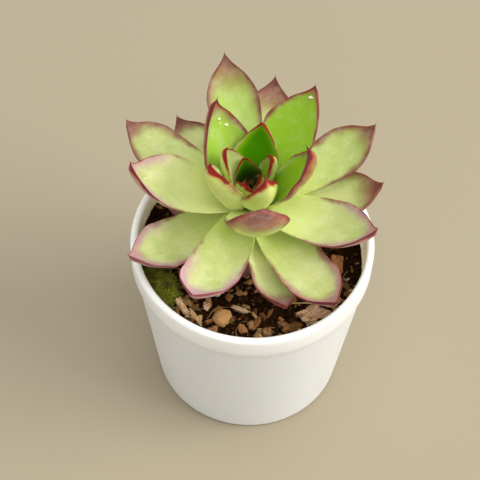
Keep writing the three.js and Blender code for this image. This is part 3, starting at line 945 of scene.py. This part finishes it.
fresh_green = (0.48, 0.53, 0.215)
middle_green = (0.37, 0.44, 0.14)
vivid_green_and_glow = (0.255, 0.47, 0.006)
deep_green_and_shade = (0.075, 0.30, 0.0)
painted_heart_shade = (0.012, 0.045, 0.0)
under_green = (0.61, 0.70, 0.17)
root_yellow = (0.58, 0.69, 0.15)
pale_green = (0.80, 0.84, 0.42)
olive_skin = (0.30, 0.315, 0.085)
mauve_skin = (0.27, 0.102, 0.078)
mauve_under = (0.37, 0.125, 0.06)
mauve_rim = (0.10, 0.024, 0.029)
pink_bloom = (0.46, 0.275, 0.335)
orange_red = (0.47, 0.10, 0.03)
wine_red = (0.25, 0.010, 0.012)
plum_red = (0.12, 0.016, 0.026)
wax_white = (0.82, 0.83, 0.70)


def smooth_step(value, start, end):
    share = min(max((value - start) / (end - start), 0), 1)
    return share * share * (3 - 2 * share)


def between(first, second, share):
    return first + (second - first) * share


def leaf_of(rank):
    """A leaf's measures by the rule for its rank and by its own habit."""
    own = {**dict.fromkeys(habits, 0), **habit.get(rank, {})}
    flatness = smooth_step(rank, rise["flattens_from"], rise["flattens_to"])

    def grown(size):
        return min(size["heart"] + size["per_rank"] * rank, size["full"])

    def flattened(form):
        return between(form["inner"], form["outer"], flatness)

    leaf = {
        "rank": rank,
        "turn": math.radians(first_turn + golden_angle * rank + own["turn"]),
        "rise": rise["heart"] - rise["per_rank"] * rank - rise["flattening"] * flatness + own["rise"],
        "dip": flattened(blade_dip) + own["dip"],
        "roll": math.radians(own["roll"]),
        "skew": own["skew"],
        "root_out": max(0.0, min(root_step * rank, stem_radius - root_inset)),
        "root_up": crown_height - leaf_step * rank,
        "length": grown(length) + own["length"]
        - length["shrink_per_rank"] * max(0, rank - length["shrinks_from"]),
        "width": grown(width) + own["width"],
        "thickness": grown(thickness),
        "shoulder": flattened(shoulder_at),
        "power": flattened(taper_power) + own["power"],
        "pinch": tip_pinch + own["pinch"],
        "channel": flattened(channel_depth) + own["channel"],
    }
    if rank > last_rosette_leaf:
        leaf.update(under_leaf, length=under_leaf["length"] + own["length"])
    return leaf


def midrib(leaf):
    """The four control points of the middle line of a leaf's upper face."""
    def at(reach, degrees):
        angle = math.radians(degrees)
        out = leaf["root_out"] + leaf["length"] * reach * math.cos(angle)
        return Vector((out * math.cos(leaf["turn"]), out * math.sin(leaf["turn"]),
                       leaf["root_up"] + leaf["length"] * reach * math.sin(angle)))
    start = leaf["rise"] - leaf["dip"]
    return at(0, 0), at(0.35, start), at(0.8, start), at(1, leaf["rise"])


def on_curve(knots, share):
    """The place and the direction at a share of a curve's way."""
    a, b, c, d = knots
    rest = 1 - share
    spot = a * rest ** 3 + b * 3 * rest ** 2 * share + c * 3 * rest * share ** 2 + d * share ** 3
    ahead = (b - a) * rest ** 2 + (c - b) * 2 * rest * share + (d - c) * share ** 2
    return spot, ahead.normalized()


def outline(leaf, along):
    """A leaf's width at a place along it, as a share of its widest, drawn in just before the tip."""
    if along < leaf["shoulder"]:
        return between(root_share, 1, math.sin(math.pi / 2 * along / leaf["shoulder"]))
    if along > 1:
        return 0
    to_tip = (along - leaf["shoulder"]) / (1 - leaf["shoulder"])
    return (1 - to_tip ** leaf["power"]) * (1 - leaf["pinch"] * smooth_step(to_tip, 0.5, 0.95))


def leaf_section(leaf, along):
    """One cross-section in millimetres: its points, and what each point carries for the colours."""
    centre, forward = on_curve(midrib(leaf), min(along, 1))
    past_tip = max(0, along - 1) * leaf["length"]
    level_side = Vector((-math.sin(leaf["turn"]), math.cos(leaf["turn"]), 0))
    centre = centre + forward * past_tip + level_side * leaf["skew"] * along ** 2
    side = Matrix.Rotation(leaf["roll"], 3, forward) @ level_side
    over = forward.cross(side)
    seed = 17.3 * leaf["rank"]
    waving = 1 + width_wave * noise.noise((3.0 * along, seed, 0.5))
    half = leaf["width"] / 2 * outline(leaf, along) * waving
    slim = min(1, 0.1 + half / 1.5)
    half = max(half, point_radius * max(0.25, 1 - past_tip / point_length))
    edge = leaf_edge * slim
    depth = max(0, leaf["thickness"] * between(1, tip_share, min(along, 1) ** 3) - leaf_edge) * slim
    inset = min(0.3 * edge, 0.3 * half) / half
    points, carried = [], []

    def wave(way):
        return margin_wave * half * noise.noise((9 * along, math.copysign(2.0, way), seed))

    def add(u, height, under, edge_mm):
        ripple = skin_ripple * min(1, half / 3) * noise.noise((5 * u, 7 * along, seed + 3))
        points.append(centre + side * u * half + over * (height + ripple))
        carried.append((u, along, under, edge_mm))

    def add_face(shares, under):
        """The upper face, for which under is 0, or the full under face, for which it is 1."""
        for share in shares:
            u = share * (1 - inset)
            below = under * (edge + depth * max(0, 1 - share * share) ** 0.7)
            height = leaf["channel"] * half * u * u + share * share * wave(share) - below
            add(u, height, under, (1 - abs(share)) * half)

    def add_margin(angles, way):
        """The rounded edge between the faces on one side."""
        for angle in map(math.radians, angles):
            height = leaf["channel"] * half + wave(way) - edge / 2 * (1 - math.cos(angle))
            add(way * (1 - inset + inset * math.sin(angle)), height, 0.5, 0.0)

    add_face(across_upper, 0.0)
    add_margin((45, 90, 135), 1)
    add_face(across_under, 1.0)
    add_margin((135, 90, 45), -1)
    return points, carried


to_pot = Matrix.Translation(plant_foot) @ Matrix.Rotation(math.radians(plant_lean), 4, "X")


def leaf_mesh(leaf):
    """Points in metres, faces and carried values of one fine leaf."""
    extra = point_length / leaf["length"]
    stations = [1 - (1 - i / leaf_stations) ** 1.5 for i in range(leaf_stations)]
    stations += [1 + extra * share for share in point_stations]
    sections = [leaf_section(leaf, along) for along in stations]
    count = len(sections[0][0])
    points = [spot for section, _ in sections for spot in section]
    carried = [values for _, section in sections for values in section]
    points += [on_curve(midrib(leaf), 0)[0], sum(sections[-1][0], Vector()) / count]
    carried += [(0, 0, 0, 3), (0, 1 + extra, 0.5, 0)]
    root, tip = len(points) - 2, len(points) - 1
    last = root - count
    faces = []
    for i in range(count):
        j = (i + 1) % count
        faces.append((root, i, j))
        for ring in range(0, last, count):
            faces.append((ring + i, ring + count + i, ring + count + j, ring + j))
        faces.append((tip, last + j, last + i))
    return [to_pot @ spot * mm for spot in points], faces, carried


def carry(leaf, carried, colours):
    """The values for the skin, by name: places on the leaf, and the leaf's own colouring."""
    kept = dict(zip(("across", "along", "under", "edge_mm"), zip(*carried)))
    kept["tip_mm"] = [max(0.0, 1 - along) * leaf["length"] for along in kept["along"]]
    for name, value in zip(colour_names, colours):
        kept[name] = [value] * len(carried)
    return kept


def inverse(mask):
    return reckon("SUBTRACT", 1.0, mask)


def larger(first, second):
    return reckon("MAXIMUM", first, second)


skin, tree, shader = finish(
    "leaf_skin", Subsurface_Radius=(0.9, 1.0, 0.25), Subsurface_Scale=1.1 * mm, IOR=1.4,
    Specular_IOR_Level=0.3)
place = place_mm(tree)
across, along, under = (stored(tree, name) for name in ("across", "along", "under"))
edge_mm, tip_mm = stored(tree, "edge_mm"), stored(tree, "tip_mm")
red, mauve, deep, pink, pale = (stored(tree, name) for name in colour_names)

# The green: paler at the root, deeper in a hollow, with veins and soft patches. In a hollow the vivid
# green is partly painted light shining through the leaf and the deep green partly painted shade, and
# the heart's leaves turn to painted shade near their root.
patches = cloudy(place, 0.16, 4, 0.55)
mottle = cloudy(place, 1.3, 5, 0.6)
vein_place = finish_node("CombineXYZ", (times(across, 5.0), times(along, 1.3), under)).outputs[0]
veins = cloudy(vein_place, 1.7, 4, 0.6)
upper = inverse(under)
hollow = times(upper, fade(edge_mm, 0.0, 1.2))
plain = inverse(times(hollow, deep))
green = painted(
    fresh_green,
    (fade(patches, 0.35, 0.7, 0, 0.8), middle_green),
    (times(under, 0.85), under_green),
    (fade(along, 0.55, 0.1, 0, 0.7), root_yellow),
    # Pale green towards the root; on leaf 23 it is painted light over the whole leaf.
    (times(pale, fade(along, 0.65, 0.12, 0.1, 1.0)), pale_green),
    # Vivid green: partly the leaf's own green, partly painted light shining through the leaf.
    (times(hollow, fade(deep, 0.0, 0.5)), vivid_green_and_glow),
    # Deep green, darkest in the middle of the hollow: partly the leaf's own green, partly painted shade.
    (times(upper, fade(edge_mm, 0.4, 3.4), fade(deep, 0.5, 1.0)), deep_green_and_shade),
    # Painted shade: the heart's leaves go nearly black towards their root.
    (times(upper, fade(deep, 1.0, 1.5), fade(along, 0.85, 0.35)), painted_heart_shade),
    (times(plain, fade(veins, 0.46, 0.78, 0, 0.15)), pale_green),
    (times(plain, fade(mottle, 0.5, 0.75, 0, 0.14)), middle_green))

# The outer part goes through olive to mauve, over a long way at the tip and a short one at the
# margin, where it is darkest. A pale pink tip takes the place of the dark rim.
ragged = times(plus(cloudy(place, 0.3, 4, 0.5), -0.5), 3.0)
near_edge, near_tip = plus(edge_mm, ragged), plus(tip_mm, ragged)
near_rim = plus(edge_mm, times(ragged, 0.3))
margin_reach = plus(0.6, times(mauve, 9.0, fade(along, 0.25, 0.95, 0.1, 1)))
from_edge = reckon("DIVIDE", near_edge, margin_reach)
from_tip = reckon("DIVIDE", near_tip, plus(2.5, times(mauve, 17.0)))
outer_part = larger(times(fade(from_edge, 1.0, -0.3), fade(along, 0.2, 0.55)), fade(from_tip, 1.0, 0.1))
mauve_mask = times(fade(mauve, 0.0, 0.4), outer_part, inverse(times(hollow, deep, 0.9)))
mauve_colour = mix_colours(times(under, 0.8), mauve_skin, mauve_under)
dark_rim = larger(fade(near_rim, 1.5, -0.2), fade(near_tip, 6.5, 0.8))
rim_mask = times(dark_rim, mauve_mask, inverse(times(pink, 0.8)), 0.8)
pink_part = larger(fade(near_edge, 4.4, 0.2), fade(near_tip, 9.0, 2.5))
pink_mask = times(pink, fade(along, 0.4, 0.75), pink_part)

# The red margin: wine red at the rim, through orange red to the green, widest at the tip.
tipness = fade(along, 0.7, 0.97)
without_pink = inverse(times(pink, 0.75))
red_reach = times(plus(0.16, times(tipness, red, without_pink, 0.85)), plus(1.0, times(under, 0.5)))
from_rim = reckon("DIVIDE", near_rim, red_reach)
red_strength = times(red, fade(along, 0.3, 0.75))
blush_reach = plus(0.8, times(tipness, 1.6))
blush = times(fade(edge_mm, blush_reach, 0.1, 0, 0.42), red_strength, without_pink)
red_mask = times(fade(from_rim, 1.25, 0.3), red_strength)
rim_red = mix_colours(times(mauve, 1.8), wine_red, plum_red)
red_skin = mix_colours(fade(from_rim, 0.9, 0.15), orange_red, rim_red)
red_tip = times(fade(tip_mm, 3.2, 0.4), red, red, without_pink, 0.9)

# A thin bloom of wax, missing in the deep hollows and on the red.
bloom = times(fade(cloudy(place, 0.28, 5, 0.65), 0.42, 0.75, 0.0, 0.16), inverse(red_mask), plain)
colour = painted(
    green,
    (fade(mauve_mask, 0.0, 0.6, 0, 0.8), olive_skin),
    (fade(mauve_mask, 0.2, 0.9, 0, 0.95), mauve_colour),
    (rim_mask, mauve_rim),
    (pink_mask, pink_bloom),
    (blush, orange_red),
    (red_mask, red_skin),
    (red_tip, rim_red),
    (bloom, wax_white))
feed(shader, Base_Color=colour, Roughness=fade(bloom, 0.0, 0.2, 0.42, 0.6),
     Subsurface_Weight=times(0.35, inverse(red_mask)))
raise_surface(shader, plus(times(veins, 0.5), times(mottle, 0.25)), 0.12 * mm, 0.6)

for rank in (*heart_ranks, *range(first_free_leaf, last_rosette_leaf + 1), *under_leaves):
    leaf = leaf_of(rank)
    points, faces, carried = leaf_mesh(leaf)
    if rank < first_free_leaf:
        name, node, colours = f"heart_leaf_{rank - heart_ranks[0] + 1}", "stem_and_heart", heart_colouring
    else:
        node = f"under_leaf_{rank}" if rank > last_rosette_leaf else f"leaf_{rank}"
        name, colours = f"{node}_grown", colouring.get(rank, usual_colouring)
    blade = piece(name, points, faces, skin, carried=carry(leaf, carried, colours))
    outward(blade)
    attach(blade, "root")
    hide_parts(node)

# ---- Specks on the leaves ----
# A few pale grains of grit have been splashed onto the leaves. Each is set by its leaf's rank, its
# place along and across the upper face, and its size in millimetres.

specks = ((11, 0.84, 0.0, 1.6), (9, 0.72, -0.25, 0.9), (9, 0.67, -0.3, 0.6), (9, 0.62, -0.5, 1.2),
          (12, 0.75, 0.15, 0.8), (12, 0.69, -0.1, 0.45), (15, 0.45, -0.6, 0.4), (17, 0.6, 0.2, 0.35))
speck_colour = (0.80, 0.74, 0.55)
splashing = random.Random(31)
speck_finish = finish("pale_grit", Base_Color=(*speck_colour, 1), Roughness=0.8)[0]
points, faces = [], []
for rank, along_leaf, across_leaf, size in specks:
    upper_face = leaf_section(leaf_of(rank), along_leaf)[0][:len(across_upper)]
    nearest = min(range(len(across_upper)), key=lambda k: abs(across_upper[k] - across_leaf))
    grain, sides = grain_points(splashing, (size, 0.8 * size, 0.6 * size), 2)
    seat = (to_pot @ upper_face[nearest]) * mm
    faces += renumbered(sides, len(points))
    points += [seat + (point + Vector((0, 0, 0.15 * size))) * mm for point in grain]
grit_specks = piece("grit_specks", points, faces, speck_finish, smooth=False)
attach(grit_specks, "root")

# ---- Stem ----
# The short green stem stands in the soil and carries the leaves. Rings of old leaf scars go round
# its bare lower part, where it has turned corky.

stem_sides = 96
scar_depth = 0.035
scarred_height = 0.7 * crown_height
corky_height = 11
shaded_stem, pale_stem = (0.34, 0.42, 0.13), (0.50, 0.52, 0.20)
dark_cork, light_cork = (0.15, 0.085, 0.04), (0.36, 0.25, 0.14)
stem_finish, tree, shader = finish(
    "stem_skin", Specular_IOR_Level=0.35, Roughness=0.65, Subsurface_Weight=0.15,
    Subsurface_Radius=(0.9, 1.0, 0.3), Subsurface_Scale=1.5 * mm)
place = place_mm(tree)
height_up = finish_node("SeparateXYZ", (place,)).outputs["Z"]
cork = fade(height_up, plant_foot.z + corky_height, plant_foot.z + 1)
bark_patches = cloudy(place, 0.9, 5, 0.65, stretch=(1, 1, 2.2))
green = mix_colours(bark_patches, shaded_stem, pale_stem)
feed(shader, Base_Color=mix_colours(cork, green, mix_colours(bark_patches, dark_cork, light_cork)))
raise_surface(shader, bark_patches, 0.3 * mm, 0.7)

# The stem's shares of its radius, from its foot in the soil up to its rounded top.
stem_profile = [(0, -stem_depth), (0.5, -stem_depth), (0.9, -0.6 * stem_depth), (1, 0)]
stem_profile += [(1, 0.5 * crown_height * i / 40) for i in range(1, 41)]
stem_profile += [(0.9, 0.8 * crown_height), (0.5, crown_height), (0, crown_height + 1)]
points, faces = turned([(share * stem_radius, height) for share, height in stem_profile], stem_sides)
scarred = []
for point in points:
    x, y, height = Vector(point) / mm
    turn = math.atan2(y, x)
    scar = 1 - math.sin(2.2 * height + 2.6 * turn) * math.cos(1.3 * height - 3 * turn)
    shrink = 1 - (scar_depth * scar if 0 < height < scarred_height else 0)
    scarred.append(to_pot @ Vector((x * shrink, y * shrink, height)) * mm)
stem = piece("stem", scarred, faces, stem_finish)
outward(stem)
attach(stem, "root")
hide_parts("stem_and_heart")
